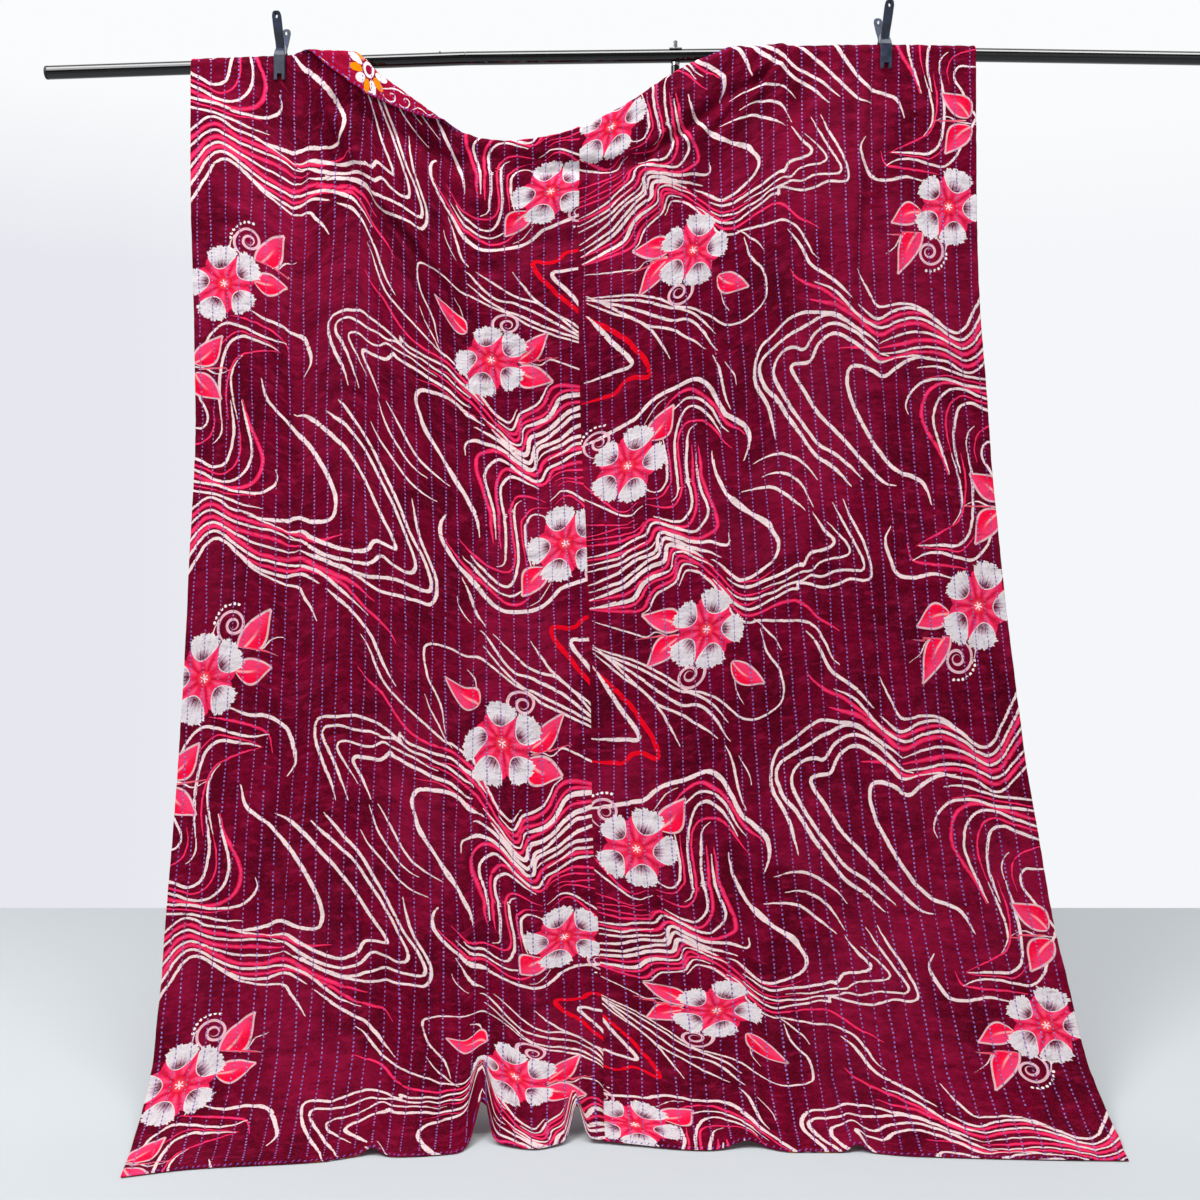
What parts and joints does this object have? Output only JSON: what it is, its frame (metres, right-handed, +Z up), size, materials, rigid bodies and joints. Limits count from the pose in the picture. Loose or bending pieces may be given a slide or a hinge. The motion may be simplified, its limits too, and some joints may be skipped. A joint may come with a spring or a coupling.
{
  "type": "kantha quilt on a crossbar stand",
  "caption": "Hand-stitched kantha quilt clipped over the crossbar of a T-shaped stand, its top hem sagging between spring clips and its lower part swept forward over the floor.",
  "frame": {"origin": "on the floor, midway between the ends of the crossbar and midway between the back foot and the quilt's front hem", "axes": "+X along the crossbar to the right, +Z up, -Y towards the side that shows the printed face"},
  "size_m": [2.34, 1.135, 1.8366],
  "materials": {
    "printed_cotton": "woven cotton, printed and hand stitched",
    "backing_cotton": "woven cotton, printed",
    "black_enamel": "gloss",
    "black_plastic": "satin",
    "spring_steel": "satin",
    "bright_steel": "polished",
    "rubber": "matt"
  },
  "bodies": {
    "root": {"face_panel_left": "printed_cotton", "face_panel_right": "printed_cotton", "backing": "backing_cotton", "bar_left": "black_enamel", "bar_middle": "black_enamel", "bar_right": "black_enamel", "bar_sleeve_left": "black_enamel", "bar_sleeve_right": "black_enamel", "bar_plug_left": "black_plastic", "bar_plug_right": "black_plastic", "bar_lock_button": "spring_steel", "bar_saddle": "black_plastic", "spigot_pin": "bright_steel", "spigot_collar": "bright_steel", "post_upper": "black_enamel", "post_lower": "black_enamel", "post_collar": "black_plastic", "post_knob": "black_plastic", "upper_hub": "black_plastic", "lower_hub": "black_plastic", "leg_back": "black_enamel", "brace_back": "black_enamel", "foot_back": "rubber", "leg_front_right": "black_enamel", "brace_front_right": "black_enamel", "foot_front_right": "rubber", "leg_front_left": "black_enamel", "brace_front_left": "black_enamel", "foot_front_left": "rubber", "clip_left_front_arm": "black_plastic", "clip_left_rear_arm": "black_plastic", "clip_left_spring": "spring_steel", "clip_right_front_arm": "black_plastic", "clip_right_rear_arm": "black_plastic", "clip_right_spring": "spring_steel"}
  },
  "joints": []
}
